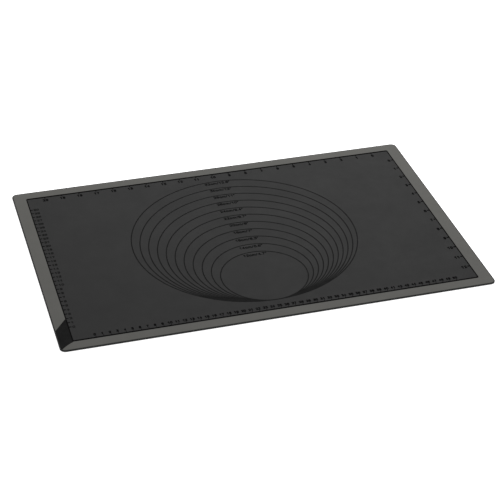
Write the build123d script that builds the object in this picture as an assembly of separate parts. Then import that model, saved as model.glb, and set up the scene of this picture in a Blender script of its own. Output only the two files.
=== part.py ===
from build123d import *
import os
from dataclasses import dataclass
from math import floor, sqrt

# A baking mat of dark silicone, lying flat, with printed scales and round guides.
# Millimetres. X runs along the long side, Y from the front edge to the back, Z up.
# The origin is the middle of the underside.

# The outline of the mat
mat_length = 600.0
mat_depth = 400.0
corner_radius = 8.0
edge_round = 0.4

# The layers, from the underside up
base_thickness = 0.9
cloth_thickness = 0.2
top_thickness = 0.9
ink_thickness = 0.2

# The glass cloth stops short of the edge, and the silicone rim closes it in
rim_width = 6.0
cloth_corner_radius = 3.0

# The printed border, and the black line inside it. The sides run along Y, the ends along X.
print_setback = 1.1
side_border_width = 18.6
end_border_width = 17.0
side_line_width = 1.6
end_line_width = 2.9
field_corner_radius = 1.2

# The bare black panel in the border's front left corner. Its slanted end is measured from
# the front edge, and its front end is a shallow arc from the corner.
panel_outer_end = 44.0
panel_inner_end = 69.0
panel_front_shift = 2.7
panel_front_bulge = 1.9
cut_overrun = 2.0

# The round guides, which touch at one point in front
smallest_guide = 120.0
guide_step = 20.0
guide_line_width = 1.5
guide_margin = 18.0
guide_label_gap = 0.9
guide_label_shift = 1.5

# The centimetre scales on the front and left, and the inch scales on the back and right
centimetre_step = 10.0
inch_step = 25.4
centimetre_end_margin = 28.0
inch_end_margin = 24.0
front_tick_width = 0.6
front_tick_length = 2.7
left_tick_width = 1.5
left_tick_length = 3.1
back_tick_width = 1.3
back_tick_length = 2.7
right_tick_width = 2.2
right_tick_length = 3.1

# The gap between a tick and its number, and how far the number stands along the scale from
# the middle of its tick
front_number_gap = 0.7
front_number_shift = -0.8
left_number_gap = 1.2
left_number_shift = -0.5
back_number_gap = 1.5
back_number_shift = 0.0
right_number_gap = 1.4
right_number_shift = 0.9

# The figures: height, width and stroke of a digit, and the gap between two
front_figure_height = 5.0
front_figure_width = 3.15
front_figure_stroke = 1.2
front_figure_gap = 0.2
left_figure_height = 4.8
left_figure_width = 3.65
left_figure_stroke = 1.2
left_figure_gap = 0.25
inch_figure_height = 6.2
inch_figure_width = 3.7
inch_figure_stroke = 1.45
inch_figure_gap = 0.55
label_figure_height = 5.6
label_figure_width = 3.8
label_figure_stroke = 1.1
label_figure_gap = 0.5

# Worked out from the sizes above
base_top = base_thickness
cloth_top = base_top + cloth_thickness
print_level = cloth_top + top_thickness
print_margin = edge_round + print_setback
field_length = mat_length - 2 * side_border_width
field_depth = mat_depth - 2 * end_border_width
inner_length = field_length - 2 * side_line_width
inner_depth = field_depth - 2 * end_line_width
frame_corner_radius = field_corner_radius + side_line_width


@dataclass
class Lettering:
    """Plain figures, drawn as round-ended strokes of one width."""

    height: float
    width: float
    stroke: float
    gap: float


@dataclass
class Scale:
    """One row of strokes and numbers along one side of the mat."""

    side: str
    step: float
    steps: int
    tick_width: float
    tick_length: float
    lettering: Lettering
    number_gap: float
    number_shift: float


# Each figure is one or more strokes. A point is its share of the width, its share of the
# height, and 1 where the stroke turns in an arc there or 0 where it turns sharply.
waist_share = 0.52
stroke_shares = {
    "1": [[(0.1, 0.74, 0), (0.62, 1, 0), (0.62, 0, 0)]],
    "2": [[(0, 0.78, 0), (0, 1, 1), (1, 1, 1), (1, 0.62, 1), (0, 0, 0), (1, 0, 0)]],
    "3": [
        [(0, 1, 0), (1, 1, 0), (0.4, 0.6, 0), (1, 0.6, 1), (1, 0, 1), (0, 0, 1), (0, 0.22, 0)]
    ],
    "4": [[(0.72, 1, 0), (0, 0.3, 0), (1, 0.3, 0)], [(0.72, 1, 0), (0.72, 0, 0)]],
    "5": [
        [(0.95, 1, 0), (0.08, 1, 0), (0.08, 0.6, 0), (1, 0.6, 1), (1, 0, 1), (0, 0, 1), (0, 0.22, 0)]
    ],
    "6": [[(0, 0.3, 0), (0, 1, 1), (1, 1, 1), (1, 0.78, 0)]],
    "7": [[(0, 1, 0), (1, 1, 0), (0.35, 0, 0)]],
    "9": [[(1, 0.7, 0), (1, 0, 1), (0, 0, 1), (0, 0.22, 0)]],
    "c": [[(1, 0.5, 0), (1, 0.72, 1), (0, 0.72, 1), (0, 0, 1), (1, 0, 1), (1, 0.22, 0)]],
    "m": [
        [(0, 0, 0), (0, 0.72, 1), (0.5, 0.72, 1), (0.5, 0, 0)],
        [(0.5, 0.4, 0), (0.5, 0.72, 1), (1, 0.72, 1), (1, 0, 0)],
    ],
    "/": [[(0, 0, 0), (1, 1, 0)]],
    '"': [[(0, 1, 0), (0, 0.76, 0)], [(1, 1, 0), (1, 0.76, 0)]],
}

# The closed loops of a figure: where each starts and ends, in shares of the height
loop_shares = {
    "0": [(0, 1)],
    "6": [(0, 0.58)],
    "8": [(0, waist_share), (waist_share, 1)],
    "9": [(0.42, 1)],
}

# How wide a figure is, in shares of a digit's width. A full stop is one stroke wide.
width_shares = {"c": 0.9, "m": 1.4, "/": 0.7, '"': 0.55, ".": 0}

# The radius of a turn: a share of the figure's height, or of the run or loop that it ends
turn_share = 0.2
run_turn_share = 0.88
loop_turn_share = 0.45


def sheet_face(length, depth, radius):
    return RectangleRounded(length, depth, radius)


def frame_face(length, depth, radius, inner_size, inner_radius):
    """A flat ring between two rounded rectangles."""
    return sheet_face(length, depth, radius) - sheet_face(*inner_size, inner_radius)


def ink(face):
    """A film of ink on the top of the mat."""
    return Pos(0, 0, print_level) * extrude(face, ink_thickness)


def base_sheet():
    sheet = extrude(sheet_face(mat_length, mat_depth, corner_radius), base_thickness)
    return fillet(sheet.faces().sort_by(Axis.Z)[0].edges(), edge_round)


def glass_cloth():
    cloth = sheet_face(mat_length - 2 * rim_width, mat_depth - 2 * rim_width, cloth_corner_radius)
    return Pos(0, 0, base_top) * extrude(cloth, cloth_thickness)


def edge_seal():
    cloth_size = (mat_length - 2 * rim_width, mat_depth - 2 * rim_width)
    ring = frame_face(mat_length, mat_depth, corner_radius, cloth_size, cloth_corner_radius)
    return Pos(0, 0, base_top) * extrude(ring, cloth_thickness)


def top_sheet():
    sheet = extrude(sheet_face(mat_length, mat_depth, corner_radius), top_thickness)
    sheet = fillet(sheet.faces().sort_by(Axis.Z)[-1].edges(), edge_round)
    return Pos(0, 0, cloth_top) * sheet


def border_face():
    """All of the border, before the corner panel takes its share of it."""
    return frame_face(
        mat_length - 2 * print_margin,
        mat_depth - 2 * print_margin,
        corner_radius - print_margin,
        (field_length, field_depth),
        frame_corner_radius,
    )


def panel_outline():
    """A four-sided shape over the front left corner: its ends are the panel's two ends.

    The front end is an arc from the outer corner, the other end is the slanted cut. Both
    run on past the border, so that the border alone bounds the panel's long sides.
    """
    outer_x = -mat_length / 2
    inner_x = -field_length / 2
    front = -mat_depth / 2
    ends = [
        (Vector(outer_x, front), Vector(inner_x + panel_front_shift, -field_depth / 2)),
        (Vector(outer_x, front + panel_outer_end), Vector(inner_x, front + panel_inner_end)),
    ]
    corners = []
    for outer, inner in ends:
        run = (inner - outer).normalized() * cut_overrun
        corners.append((outer - run, inner + run))
    (front_out, front_in), (cut_out, cut_in) = corners
    across = (front_in - front_out).normalized().rotate(Axis.Z, 90)
    middle = (front_out + front_in) / 2 + across * panel_front_bulge
    front_end = ThreePointArc(front_out, middle, front_in)
    return make_face([front_end, Polyline(front_in, cut_in, cut_out, front_out)])


def border_band():
    return ink(border_face() - panel_outline())


def corner_panel():
    return ink(border_face() & panel_outline())


def frame_line():
    inner_size = (inner_length, inner_depth)
    return ink(
        frame_face(field_length, field_depth, frame_corner_radius, inner_size, field_corner_radius)
    )


def guide_diameters():
    """Every guide that fits in the field, from the smallest up."""
    room = inner_depth - 2 * guide_margin
    count = 1 + floor((room - smallest_guide) / guide_step)
    return [smallest_guide + k * guide_step for k in range(count)]


def guide_front():
    """Where the guides touch: the largest is centred on the mat."""
    return -max(guide_diameters()) / 2


def guide_disc(diameter, grow):
    radius = diameter / 2
    return Pos(0, guide_front() + radius) * Circle(radius + grow)


def guide_circles():
    """One film, because the rings run into each other in front.

    It is the largest disc, less the smallest disc and the crescent between each two rings.
    """
    half_line = guide_line_width / 2
    diameters = guide_diameters()
    film = guide_disc(max(diameters), half_line) - guide_disc(min(diameters), -half_line)
    for inside, outside in zip(diameters, diameters[1:]):
        film -= guide_disc(outside, -half_line) - guide_disc(inside, half_line)
    return ink(film)


def stroke_bend(places, turns, height):
    """The radius of a stroke's turns, which its shortest run may limit."""
    bend = turn_share * height
    for start, end, start_turns, end_turns in zip(places, places[1:], turns, turns[1:]):
        turned_ends = start_turns + end_turns
        if turned_ends:
            run = (Vector(*end) - Vector(*start)).length
            bend = min(bend, run_turn_share * run / turned_ends)
    return bend


def stroke_face(points, size, lettering):
    """A round-ended stroke through points given as shares of size."""
    width, height = size
    places = [(x * width, y * height) for x, y, _ in points]
    if len(places) == 2:
        return SlotArc(Line(*places), lettering.stroke)
    turns = [turned for _, _, turned in points]
    bend = stroke_bend(places, turns, height)
    bends = [bend * turned for turned in turns[1:-1]]
    return SlotArc(FilletPolyline(*places, radius=bends), lettering.stroke)


def loop_face(low, high, width, lettering):
    """A closed loop of one stroke, from one height to another."""
    tall = high - low
    stroke = lettering.stroke
    bend = loop_turn_share * min(tall, width)
    ring = RectangleRounded(width + stroke, tall + stroke, bend + stroke / 2)
    ring -= RectangleRounded(width - stroke, tall - stroke, bend - stroke / 2)
    return Pos(width / 2, (low + high) / 2) * ring


def figure_width_of(character, lettering):
    return max(width_shares.get(character, 1) * lettering.width, lettering.stroke)


def figure_face(character, lettering):
    """One figure, its lower left corner at the origin."""
    stroke = lettering.stroke
    width = figure_width_of(character, lettering) - stroke
    height = lettering.height - stroke
    if character == ".":
        return Pos(stroke / 2, stroke / 2) * Circle(stroke / 2)
    loops = [
        loop_face(low * height, high * height, width, lettering)
        for low, high in loop_shares.get(character, [])
    ]
    strokes = [
        stroke_face(points, (width, height), lettering)
        for points in stroke_shares.get(character, [])
    ]
    first, *others = loops + strokes
    for other in others:
        first += other
    return Pos(stroke / 2, stroke / 2) * first


made_figures = {}


def figure(character, lettering):
    """One figure in ink. Each is drawn once and then copied."""
    key = (character, id(lettering))
    if key not in made_figures:
        made_figures[key] = ink(figure_face(character, lettering))
    return made_figures[key]


def text_width(text, lettering):
    widths = [figure_width_of(character, lettering) for character in text]
    return sum(widths) + lettering.gap * (len(text) - 1)


def text_solids(text, lettering, x, y):
    """A line of figures, centred on x and y."""
    along = x - text_width(text, lettering) / 2
    solids = []
    for character in text:
        at = Pos(along, y - lettering.height / 2)
        solids.extend((at * figure(character, lettering)).solids())
        along += figure_width_of(character, lettering) + lettering.gap
    return solids


def whole_steps(room, end_margin, step):
    return floor((room - 2 * end_margin) / step)


front_lettering = Lettering(
    front_figure_height, front_figure_width, front_figure_stroke, front_figure_gap
)
left_lettering = Lettering(
    left_figure_height, left_figure_width, left_figure_stroke, left_figure_gap
)
inch_lettering = Lettering(
    inch_figure_height, inch_figure_width, inch_figure_stroke, inch_figure_gap
)
label_lettering = Lettering(
    label_figure_height, label_figure_width, label_figure_stroke, label_figure_gap
)

scales = {
    "front": Scale(
        "front",
        centimetre_step,
        whole_steps(inner_length, centimetre_end_margin, centimetre_step),
        front_tick_width,
        front_tick_length,
        front_lettering,
        front_number_gap,
        front_number_shift,
    ),
    "left": Scale(
        "left",
        centimetre_step,
        whole_steps(inner_depth, centimetre_end_margin, centimetre_step),
        left_tick_width,
        left_tick_length,
        left_lettering,
        left_number_gap,
        left_number_shift,
    ),
    "back": Scale(
        "back",
        inch_step,
        whole_steps(inner_length, inch_end_margin, inch_step),
        back_tick_width,
        back_tick_length,
        inch_lettering,
        back_number_gap,
        back_number_shift,
    ),
    "right": Scale(
        "right",
        inch_step,
        whole_steps(inner_depth, inch_end_margin, inch_step),
        right_tick_width,
        right_tick_length,
        inch_lettering,
        right_number_gap,
        right_number_shift,
    ),
}


def runs_across(scale):
    """True for the two sides that run along Y."""
    return scale.side in ("left", "right")


def place_on(scale, number, inset, shift=0):
    """The point at a number of the scale, an inset in from the frame line's inner edge."""
    along = (number - scale.steps / 2) * scale.step + shift
    half_length = inner_length / 2
    half_depth = inner_depth / 2
    places = {
        "front": (along, inset - half_depth),
        "left": (inset - half_length, along),
        "back": (-along, half_depth - inset),
        "right": (half_length - inset, -along),
    }
    return places[scale.side]


def scale_ticks(scale):
    size = (scale.tick_width, scale.tick_length)
    if runs_across(scale):
        size = size[::-1]
    ticks = []
    for number in range(scale.steps + 1):
        x, y = place_on(scale, number, scale.tick_length / 2)
        ticks.extend(ink(Pos(x, y) * Rectangle(*size)).solids())
    return Compound(ticks)


def scale_numbers(scale):
    solids = []
    for number in range(scale.steps + 1):
        text = str(number)
        deep = scale.lettering.height
        if runs_across(scale):
            deep = text_width(text, scale.lettering)
        inset = scale.tick_length + scale.number_gap + deep / 2
        x, y = place_on(scale, number, inset, scale.number_shift)
        solids.extend(text_solids(text, scale.lettering, x, y))
    return Compound(solids)


# Inches within this share of a whole number are printed as that whole number
rounding_share = 0.25


def inch_words(diameter):
    inches = diameter / inch_step
    whole = round(inches)
    if abs(inches - whole) < rounding_share:
        return f'{whole}"'
    return f'{inches:.1f}"'


def guide_label(diameter):
    """The size of a guide, printed inside its ring at the back."""
    text = f"{diameter / centimetre_step:.0f}cm/{inch_words(diameter)}"
    far_end = text_width(text, label_lettering) / 2 + abs(guide_label_shift)
    radius = diameter / 2
    clear_radius = radius - guide_line_width / 2
    ring_at_end = guide_front() + radius + sqrt(clear_radius**2 - far_end**2)
    y = ring_at_end - guide_label_gap - label_lettering.height / 2
    return Compound(text_solids(text, label_lettering, guide_label_shift, y))


parts = {
    "base_sheet": base_sheet(),
    "glass_cloth": glass_cloth(),
    "edge_seal": edge_seal(),
    "top_sheet": top_sheet(),
    "border_band": border_band(),
    "corner_panel": corner_panel(),
    "frame_line": frame_line(),
    "guide_circles": guide_circles(),
}
for side, scale in scales.items():
    parts[f"{side}_ticks"] = scale_ticks(scale)
    parts[f"{side}_numbers"] = scale_numbers(scale)
for diameter in guide_diameters():
    parts[f"circle_label_{diameter / centimetre_step:.0f}cm"] = guide_label(diameter)

os.makedirs("parts", exist_ok=True)
for name, shape in parts.items():
    export_step(shape, f"parts/{name}.step")
print(len(parts), "pieces")
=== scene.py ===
from math import cos, pi, radians, sin

import bmesh
import bpy
from mathutils import Matrix, Vector


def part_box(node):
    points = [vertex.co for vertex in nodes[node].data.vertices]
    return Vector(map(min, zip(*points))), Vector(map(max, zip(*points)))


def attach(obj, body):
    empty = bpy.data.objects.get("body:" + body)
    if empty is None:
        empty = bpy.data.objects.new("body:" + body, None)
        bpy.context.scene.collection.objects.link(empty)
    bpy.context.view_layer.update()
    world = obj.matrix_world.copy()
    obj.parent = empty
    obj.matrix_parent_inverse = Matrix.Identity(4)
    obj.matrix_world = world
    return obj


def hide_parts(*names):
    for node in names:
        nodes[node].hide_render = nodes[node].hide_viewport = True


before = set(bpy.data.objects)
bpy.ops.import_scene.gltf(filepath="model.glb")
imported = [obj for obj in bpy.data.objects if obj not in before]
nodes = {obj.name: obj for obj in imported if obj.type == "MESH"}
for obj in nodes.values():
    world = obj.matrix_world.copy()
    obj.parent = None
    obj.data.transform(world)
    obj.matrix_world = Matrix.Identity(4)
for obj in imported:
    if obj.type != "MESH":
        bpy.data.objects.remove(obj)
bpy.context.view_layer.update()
body = "root"

# A silicone baking mat, lying flat. Metres, in the CAD's frame: X to the right,
# Y from the front edge to the back, Z up.

# The shape of the silicone sheets
corner_radius = 0.008
corner_segments = 14
edge_round = 0.0004
edge_segments = 5
smooth_angle = radians(40)

# How far a point may lie off an edge that is picked, as a share of that edge's rounding
pick_share = 0.01

# The glass cloth, cut to this size before it is laid
cloth_corner_radius = 0.003
cloth_cells = (84, 56)

# The weave that shows faintly through the silicone, and the pitch of the cloth's own yarns.
# Warp and weft change places where the product of their ripples is within this share of zero.
weave_pitch = 0.0011
yarn_pitch = 0.0009
crossing_share = 0.2

# Blender's wave texture turns by this many radians for each unit of its scale
wave_turn = 20

# Colours as the lamps should show them, linear. Each surface runs between its two.
silicone_colours = ((0.0322, 0.0322, 0.0322, 1), (0.0358, 0.0358, 0.0356, 1))
border_colours = ((0.1135, 0.1120, 0.1050, 1), (0.1215, 0.1200, 0.1125, 1))
panel_colours = ((0.0030, 0.0030, 0.0030, 1), (0.0042, 0.0042, 0.0041, 1))
mark_colours = ((0.0016, 0.0016, 0.0016, 1), (0.0026, 0.0026, 0.0026, 1))
ring_colours = ((0.0072, 0.0072, 0.0072, 1), (0.0090, 0.0090, 0.0089, 1))
# The left row of figures is the same black ink as the other marks. Its lighter black is painted to
# match how faint that row shows in shade and at a slant.
left_row_lightened_colours = ((0.0085, 0.0085, 0.0085, 1), (0.0120, 0.0120, 0.0119, 1))
glass_colours = ((0.52, 0.52, 0.48, 1), (0.76, 0.76, 0.72, 1))
floor_white = (0.90, 0.90, 0.90, 1)
pure_white = (1, 1, 1, 1)

# Roughness, from the smoothest spot to the roughest
face_roughness = (0.55, 0.68)
base_roughness = (0.68, 0.80)
rim_roughness = (0.50, 0.62)
border_roughness = (0.50, 0.62)
panel_roughness = (0.45, 0.60)
mark_roughness = (0.60, 0.70)
ring_roughness = (0.55, 0.68)
left_row_roughness = (0.60, 0.70)
glass_roughness = 0.5
floor_roughness = 0.9

# Gloss: all silicone bends light alike, and matting keeps its reflections weak
silicone_ior = 1.41
silicone_gloss = 0.03
border_gloss = 0.03
panel_gloss = 0.03
mark_gloss = 0.01
ring_gloss = 0.02
left_row_gloss = 0.02

# How strongly the weave stands out on each silicone face, against the grain
face_weave_share = 1.0
base_weave_share = 1.6
rim_weave_share = 0.0
grain_share = 0.5

# Noise in cells to the metre: clouds in a colour, smears in its gloss, and fine grain.
# The details are how many times each noise is laid over itself, twice as fine each time,
# and a broken noise keeps more of its fine layers than an even one.
silicone_clouds = 14
silicone_smears = 55
silicone_grain = 2600
ink_clouds = 22
ink_smears = 70
ink_grain = 1800
cloud_detail = 4
silicone_smear_detail = 5
ink_smear_detail = 4
silicone_grain_detail = 2
ink_grain_detail = 3
even_noise = 0.5
broken_noise = 0.6

# The part of a noise, and of a yarn's height, that runs from one colour to the other
noise_span = (0.3, 0.7)
yarn_span = (0.2, 0.9)

# Which sockets of the mix node hold its factor, its two colours and the blended colour
mix_factor_socket = 0
mix_first_socket = 6
mix_second_socket = 7
mix_result_socket = 2

# The depth of each relief
silicone_relief = 0.00002
ink_relief = 0.000015
yarn_relief = 0.00006

# The floor, the light and the glow of what is seen behind the mat
floor_size = 12.0
floor_drop = 0.00005
floor_glow = 0.75
sky_light = 0.42
sky_glow = 1.0
window_place = (0.65, 1.2, 1.6)
window_aim = (0, 0, 0)
window_size = 1.4
window_power = 35

# The camera, at the photograph's angle. Its target is on the worktop.
camera_azimuth = radians(-16.433)
camera_elevation = radians(32.993)
camera_roll = radians(0.696)
camera_distance = 2.250379
camera_target = Vector((-0.000896, -0.031435, 0))
camera_lens = 115.62
camera_sensor_width = 36.0


# Modelling by hand, in steps


def deselect_all():
    bpy.ops.object.select_all(action="DESELECT")


def stretch(name, size):
    """Names the new primitive, stretches it and puts its place in its mesh."""
    piece = bpy.context.active_object
    piece.name = name
    piece.data.name = name
    piece.scale = size
    bpy.ops.object.transform_apply(location=True, rotation=True, scale=True)
    return piece


def start_slab(name, low, high):
    """A cube primitive stretched between two corners, with its place in its mesh."""
    deselect_all()
    middle = [(a + b) / 2 for a, b in zip(low, high)]
    size = [b - a for a, b in zip(low, high)]
    bpy.ops.mesh.primitive_cube_add(size=1, location=middle)
    return stretch(name, size)


def round_edges(piece, wanted, radius, segments):
    """Rounds the edges of a slab whose two ends satisfy wanted."""
    bpy.ops.object.mode_set(mode="EDIT")
    mesh = bmesh.from_edit_mesh(piece.data)
    bpy.ops.mesh.select_all(action="DESELECT")
    bpy.ops.mesh.select_mode(type="EDGE")
    for edge in mesh.edges:
        if wanted(edge.verts[0].co, edge.verts[1].co):
            edge.select_set(True)
    bmesh.update_edit_mesh(piece.data)
    bpy.ops.mesh.bevel(offset=radius, segments=segments, affect="EDGES")
    bpy.ops.object.mode_set(mode="OBJECT")


def round_corners(piece, radius):
    """Rounds the four upright edges of a slab."""
    near = radius * pick_share
    round_edges(
        piece,
        lambda a, b: (a - b).xy.length < near and abs(a.z - b.z) > 0,
        radius,
        corner_segments,
    )


def round_rim(piece, level):
    """Rounds all the edges at one height of a slab."""
    near = edge_round * pick_share
    round_edges(
        piece,
        lambda a, b: abs(a.z - level) < near and abs(b.z - level) < near,
        edge_round,
        edge_segments,
    )


def pick(piece):
    """Leaves this piece alone selected and active."""
    deselect_all()
    piece.select_set(True)
    bpy.context.view_layer.objects.active = piece


def shade(piece):
    pick(piece)
    bpy.ops.object.shade_smooth_by_angle(angle=smooth_angle)


# Materials


def new_material(name):
    material = bpy.data.materials.new(name)
    material.use_nodes = True
    tree = material.node_tree
    return material, tree, tree.nodes["Principled BSDF"]


def add(tree, kind, **settings):
    node = tree.nodes.new(kind)
    for name, value in settings.items():
        setattr(node, name, value)
    return node


def noise(tree, scale, detail, roughness=even_noise):
    """Noise on the piece's own coordinates, which are the mat's frame."""
    place = add(tree, "ShaderNodeTexCoord")
    node = add(tree, "ShaderNodeTexNoise")
    node.inputs["Scale"].default_value = scale
    node.inputs["Detail"].default_value = detail
    node.inputs["Roughness"].default_value = roughness
    tree.links.new(place.outputs["Object"], node.inputs["Vector"])
    return node.outputs["Fac"]


def spread(tree, value, span, new_span):
    """Stretches a value from one span to another, and stops it at both ends."""
    node = add(tree, "ShaderNodeMapRange")
    node.inputs["From Min"].default_value = span[0]
    node.inputs["From Max"].default_value = span[1]
    node.inputs["To Min"].default_value = new_span[0]
    node.inputs["To Max"].default_value = new_span[1]
    tree.links.new(value, node.inputs["Value"])
    return node.outputs["Result"]


def blend_colours(tree, value, span, colours):
    """Runs from the first colour to the second while a value runs over its span."""
    node = add(tree, "ShaderNodeMix", data_type="RGBA")
    first, second = colours
    tree.links.new(spread(tree, value, span, (0, 1)), node.inputs[mix_factor_socket])
    node.inputs[mix_first_socket].default_value = first
    node.inputs[mix_second_socket].default_value = second
    return node.outputs[mix_result_socket]


def join_values(tree, kind, first, second):
    node = add(tree, "ShaderNodeMath", operation=kind)
    for value, socket in ((first, node.inputs[0]), (second, node.inputs[1])):
        if isinstance(value, (int, float)):
            socket.default_value = value
        else:
            tree.links.new(value, socket)
    return node.outputs[0]


def ripple(tree, pitch, direction):
    """A sine from -1 to 1 across X or Y, which changes sign once in each pitch."""
    place = add(tree, "ShaderNodeTexCoord")
    wave = add(tree, "ShaderNodeTexWave", bands_direction=direction)
    wave.inputs["Scale"].default_value = pi / (wave_turn * pitch)
    tree.links.new(place.outputs["Object"], wave.inputs["Vector"])
    return spread(tree, wave.outputs["Fac"], (0, 1), (-1, 1))


def weave(tree, pitch):
    """A plain weave: rounded yarns both ways, which take turns on top."""
    across = ripple(tree, pitch, "X")
    along = ripple(tree, pitch, "Y")
    warp = join_values(tree, "ABSOLUTE", across, 0)
    weft = join_values(tree, "ABSOLUTE", along, 0)
    turns = join_values(tree, "MULTIPLY", across, along)
    warp_on_top = spread(tree, turns, (-crossing_share, crossing_share), (0, 1))
    weft_on_top = join_values(tree, "SUBTRACT", 1, warp_on_top)
    return join_values(
        tree,
        "ADD",
        join_values(tree, "MULTIPLY", warp, warp_on_top),
        join_values(tree, "MULTIPLY", weft, weft_on_top),
    )


def relief(tree, shader, height, depth):
    """Raises the surface by a height, up to a depth, in the shading alone."""
    node = add(tree, "ShaderNodeBump")
    node.inputs["Distance"].default_value = depth
    tree.links.new(height, node.inputs["Height"])
    tree.links.new(node.outputs["Normal"], shader.inputs["Normal"])


def matt_surface(name, clouds, colours, smears, roughness, gloss):
    """Silicone of a slightly clouded colour and a slightly smeared gloss."""
    material, tree, shader = new_material(name)
    colour = blend_colours(tree, noise(tree, clouds, cloud_detail), noise_span, colours)
    tree.links.new(colour, shader.inputs["Base Color"])
    smeared = spread(tree, noise(tree, *smears), noise_span, roughness)
    tree.links.new(smeared, shader.inputs["Roughness"])
    shader.inputs["IOR"].default_value = silicone_ior
    shader.inputs["Specular IOR Level"].default_value = gloss
    return material, tree, shader


def silicone(name, roughness, weave_share):
    """Dark matt silicone with a faint print of the cloth under it."""
    smears = (silicone_smears, silicone_smear_detail, broken_noise)
    material, tree, shader = matt_surface(
        name, silicone_clouds, silicone_colours, smears, roughness, silicone_gloss
    )
    grain = noise(tree, silicone_grain, silicone_grain_detail)
    height = join_values(
        tree,
        "ADD",
        join_values(tree, "MULTIPLY", weave(tree, weave_pitch), weave_share),
        join_values(tree, "MULTIPLY", grain, grain_share),
    )
    relief(tree, shader, height, silicone_relief)
    return material


def silicone_ink(name, colours, roughness, gloss):
    """A film of coloured silicone, laid on through a screen."""
    smears = (ink_smears, ink_smear_detail)
    material, tree, shader = matt_surface(name, ink_clouds, colours, smears, roughness, gloss)
    relief(tree, shader, noise(tree, ink_grain, ink_grain_detail), ink_relief)
    return material


def glass_weave(name):
    """White glass yarns in a plain weave."""
    material, tree, shader = new_material(name)
    yarns = weave(tree, yarn_pitch)
    tree.links.new(blend_colours(tree, yarns, yarn_span, glass_colours), shader.inputs["Base Color"])
    shader.inputs["Roughness"].default_value = glass_roughness
    relief(tree, shader, yarns, yarn_relief)
    return material


face_silicone = silicone("matt dark silicone", face_roughness, face_weave_share)
base_silicone = silicone("gripping underside silicone", base_roughness, base_weave_share)
rim_silicone = silicone("moulded edge silicone", rim_roughness, rim_weave_share)
grey_film = silicone_ink("grey border ink", border_colours, border_roughness, border_gloss)
panel_film = silicone_ink("black panel ink", panel_colours, panel_roughness, panel_gloss)
mark_film = silicone_ink("black marking ink", mark_colours, mark_roughness, mark_gloss)
ring_film = silicone_ink("thin black guide ink", ring_colours, ring_roughness, ring_gloss)
# The same black ink as the marks, painted lighter for the left row of figures, which lies in shade
# and is seen at a slant
left_row_lightened_film = silicone_ink("black ink painted lighter on the left row", left_row_lightened_colours, left_row_roughness, left_row_gloss)
glass_yarns = glass_weave("woven glass yarns")


def cover(piece, material):
    piece.data.materials.clear()
    piece.data.materials.append(material)


def dress(piece, node, material):
    cover(piece, material)
    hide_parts(node)
    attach(piece, body)


# The silicone sheets


def silicone_sheet(name, node, rounded_level, material):
    low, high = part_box(node)
    sheet = start_slab(name, low, high)
    round_corners(sheet, corner_radius)
    round_rim(sheet, rounded_level(low, high))
    shade(sheet)
    dress(sheet, node, material)


silicone_sheet("lower_silicone", "base_sheet", lambda low, high: low[2], base_silicone)
silicone_sheet("upper_silicone", "top_sheet", lambda low, high: high[2], face_silicone)


def rim_ring(name, node, inside_node):
    """The moulded rim between the sheets: a slab with the cloth's shape cut out of it."""
    low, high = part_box(node)
    ring = start_slab(name, low, high)
    round_corners(ring, corner_radius)
    inner_low, inner_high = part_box(inside_node)
    overrun = Vector((0, 0, high[2] - low[2]))
    cutter = start_slab("rim_cutter", Vector(inner_low) - overrun, Vector(inner_high) + overrun)
    round_corners(cutter, cloth_corner_radius)
    cut = ring.modifiers.new("cloth recess", "BOOLEAN")
    cut.operation = "DIFFERENCE"
    cut.object = cutter
    pick(ring)
    bpy.ops.object.modifier_apply(modifier=cut.name)
    bpy.data.objects.remove(cutter)
    shade(ring)
    dress(ring, node, rim_silicone)


rim_ring("moulded_rim", "edge_seal", "glass_cloth")


# The glass cloth, laid flat between the sheets


def laid_cloth(name, node):
    low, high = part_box(node)
    length, depth, thickness = [b - a for a, b in zip(low, high)]
    deselect_all()
    bpy.ops.mesh.primitive_grid_add(
        x_subdivisions=cloth_cells[0],
        y_subdivisions=cloth_cells[1],
        size=1,
        location=((low[0] + high[0]) / 2, (low[1] + high[1]) / 2, high[2]),
    )
    cloth = stretch(name, (length, depth, 1))
    thick = cloth.modifiers.new("cloth thickness", "SOLIDIFY")
    thick.thickness = thickness
    thick.offset = -1
    bpy.ops.object.modifier_apply(modifier=thick.name)
    shade(cloth)
    dress(cloth, node, glass_yarns)


laid_cloth("woven_glass", "glass_cloth")

# The printed films keep their CAD shapes and take their inks: black, unless named here
remade_nodes = ("base_sheet", "top_sheet", "edge_seal", "glass_cloth")
film_of = {
    "border_band": grey_film,
    "corner_panel": panel_film,
    "guide_circles": ring_film,
    # The left row of figures takes the black painted lighter, as it lies in shade and is seen at a
    # slant
    "left_numbers": left_row_lightened_film,
}
for name, node in nodes.items():
    if name not in remade_nodes:
        cover(node, film_of.get(name, mark_film))


# The floor and the light


def seen_rays(tree):
    """1 for rays of the camera, of a reflection and through glass, 0 for rays of light."""
    path = add(tree, "ShaderNodeLightPath")
    seen = join_values(tree, "MAXIMUM", path.outputs["Is Camera Ray"], path.outputs["Is Glossy Ray"])
    return join_values(tree, "MAXIMUM", seen, path.outputs["Is Transmission Ray"])


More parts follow.
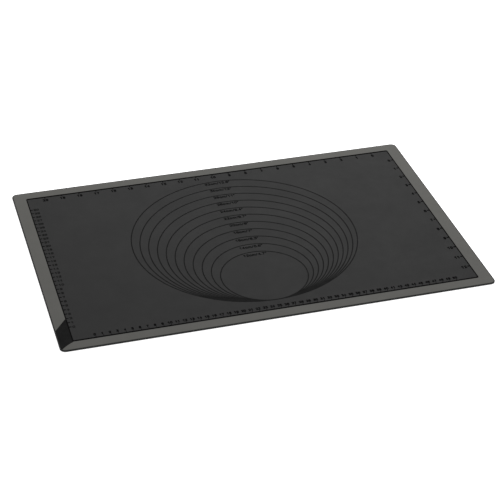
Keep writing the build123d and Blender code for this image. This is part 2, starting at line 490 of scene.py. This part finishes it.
def paper_floor():
    """White paper that takes the mat's shadow, and glows only where it is seen."""
    material, tree, shader = new_material("white paper floor")
    shader.inputs["Base Color"].default_value = floor_white
    shader.inputs["Roughness"].default_value = floor_roughness
    shader.inputs["Specular IOR Level"].default_value = 0.0
    glow = add(tree, "ShaderNodeEmission")
    glow.inputs["Color"].default_value = pure_white
    seen = join_values(tree, "MULTIPLY", seen_rays(tree), floor_glow)
    tree.links.new(seen, glow.inputs["Strength"])
    both = add(tree, "ShaderNodeAddShader")
    tree.links.new(shader.outputs[0], both.inputs[0])
    tree.links.new(glow.outputs[0], both.inputs[1])
    tree.links.new(both.outputs[0], tree.nodes["Material Output"].inputs["Surface"])
    return material


deselect_all()
bpy.ops.mesh.primitive_plane_add(size=floor_size, location=(0, 0, -floor_drop))
floor = bpy.context.active_object
floor.name = "floor"
floor.data.materials.append(paper_floor())

world = bpy.data.worlds.new("studio")
bpy.context.scene.world = world
world.use_nodes = True
sky = world.node_tree
background = sky.nodes["Background"]
sky_strength = spread(sky, seen_rays(sky), (0, 1), (sky_light, sky_glow))
background.inputs["Color"].default_value = pure_white
sky.links.new(sky_strength, background.inputs["Strength"])


def soft_lamp(name, place, aim, size, power):
    light = bpy.data.lights.new(name, "AREA")
    light.shape = "SQUARE"
    light.size = size
    light.energy = power
    lamp = bpy.data.objects.new(name, light)
    bpy.context.scene.collection.objects.link(lamp)
    lamp.location = place
    lamp.rotation_euler = (Vector(aim) - Vector(place)).to_track_quat("-Z", "Y").to_euler()


soft_lamp("window", window_place, window_aim, window_size, window_power)

# From its target the camera stands back along this line, and it is rolled about it
back = Vector(
    (
        sin(camera_azimuth) * cos(camera_elevation),
        -cos(camera_azimuth) * cos(camera_elevation),
        sin(camera_elevation),
    )
)
level_right = Vector((cos(camera_azimuth), sin(camera_azimuth), 0))
level_up = back.cross(level_right)
right = level_right * cos(camera_roll) + level_up * sin(camera_roll)
up = level_up * cos(camera_roll) - level_right * sin(camera_roll)
turn = Matrix((right, up, back)).transposed().to_4x4()
camera_data = bpy.data.cameras.new("camera")
camera_data.lens = camera_lens
camera_data.sensor_width = camera_sensor_width
camera = bpy.data.objects.new("camera", camera_data)
camera.matrix_world = Matrix.Translation(camera_target + back * camera_distance) @ turn
bpy.context.scene.collection.objects.link(camera)
bpy.context.scene.camera = camera

bpy.context.scene.view_settings.view_transform = "Standard"
